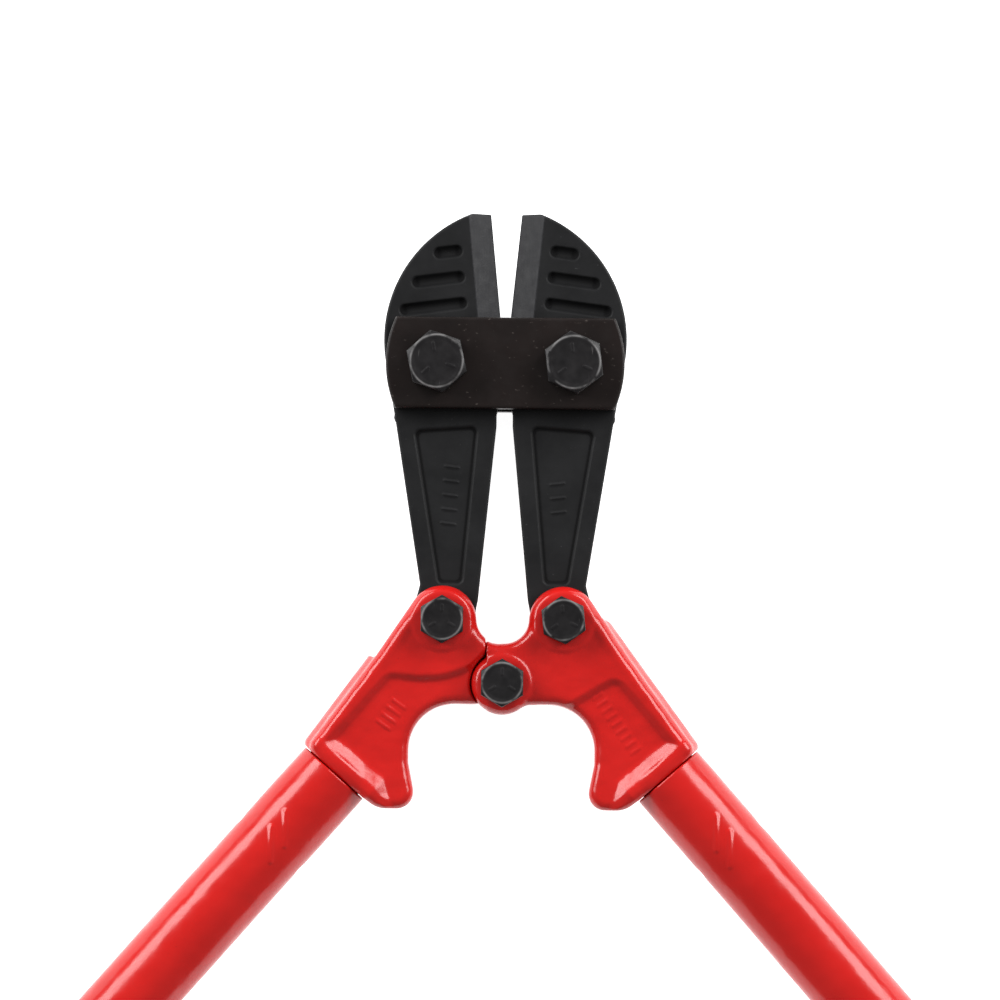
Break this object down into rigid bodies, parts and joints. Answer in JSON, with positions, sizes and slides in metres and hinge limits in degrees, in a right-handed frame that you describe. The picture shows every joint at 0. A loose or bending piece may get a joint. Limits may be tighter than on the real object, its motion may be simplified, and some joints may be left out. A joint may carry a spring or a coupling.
{
  "type": "bolt cutters",
  "caption": "Long-handled bolt cutters with forged jaws on side straps, enamelled handle heads, steel tubes and rubber grips; closing the handles closes the jaws.",
  "frame": {"origin": "on the centre pivot's axis, at the flat end of the centre bolt's tail, which is the plane that all the bolt tails end in", "axes": "+Y from the centre pivot to the jaw tips, +X across the handles to the right, +Z from the nuts towards the bolt heads"},
  "size_m": [0.667, 0.4911, 0.04],
  "materials": {
    "red_enamel": "gloss, slightly rippled enamel over a forging",
    "jaw_steel": "satin black oxide on forged steel",
    "strap_steel": "satin black oxide with light scuffs",
    "bolt_steel": "semi-gloss black oxide",
    "spring_steel": "oiled spring steel",
    "grip_rubber": "matte black, fine grain"
  },
  "bodies": {
    "straps": {"front_strap": "strap_steel", "back_strap": "strap_steel", "left_plate_bolt": "bolt_steel", "right_plate_bolt": "bolt_steel", "left_plate_washer": "spring_steel", "right_plate_washer": "spring_steel", "left_plate_nut": "bolt_steel", "right_plate_nut": "bolt_steel"},
    "left_jaw": {"left_jaw": "jaw_steel"},
    "right_jaw": {"right_jaw": "jaw_steel"},
    "left_handle": {"left_handle_head": "red_enamel", "left_tube": "red_enamel", "left_grip": "grip_rubber", "left_shank_bolt": "bolt_steel", "left_shank_washer": "spring_steel", "left_shank_nut": "bolt_steel", "left_roll_pin": "spring_steel"},
    "right_handle": {"right_handle_head": "red_enamel", "right_tube": "red_enamel", "right_grip": "grip_rubber", "right_shank_bolt": "bolt_steel", "right_shank_washer": "spring_steel", "right_shank_nut": "bolt_steel", "right_roll_pin": "spring_steel", "centre_bolt": "bolt_steel", "centre_washer": "spring_steel", "centre_nut": "bolt_steel"}
  },
  "joints": [
    {"name": "left_jaw_pivot", "type": "hinge", "parent": "straps", "child": "left_jaw", "pos_m": [-0.0212, 0.0991, 0.0225], "axis": [0, 0, -1], "range_deg": [-1.3, 5.7]},
    {"name": "right_jaw_pivot", "type": "hinge", "parent": "straps", "child": "right_jaw", "pos_m": [0.0212, 0.0991, 0.0225], "axis": [0, 0, 1], "range_deg": [-1.3, 5.7]},
    {"name": "left_handle_pivot", "type": "hinge", "parent": "left_jaw", "child": "left_handle", "pos_m": [-0.01874, 0.0195, 0.0225], "axis": [0, 0, 1], "range_deg": [-9.2, 42.6]},
    {"name": "right_handle_pivot", "type": "hinge", "parent": "right_jaw", "child": "right_handle", "pos_m": [0.01874, 0.0195, 0.0225], "axis": [0, 0, -1], "range_deg": [-9.2, 42.6]}
  ],
  "couplings": [
    {"joint": "left_handle_pivot", "follows": "right_handle_pivot", "ratio": 1},
    {"joint": "left_jaw_pivot", "follows": "right_handle_pivot", "ratio": 0.13216},
    {"joint": "right_jaw_pivot", "follows": "right_handle_pivot", "ratio": 0.13216}
  ]
}
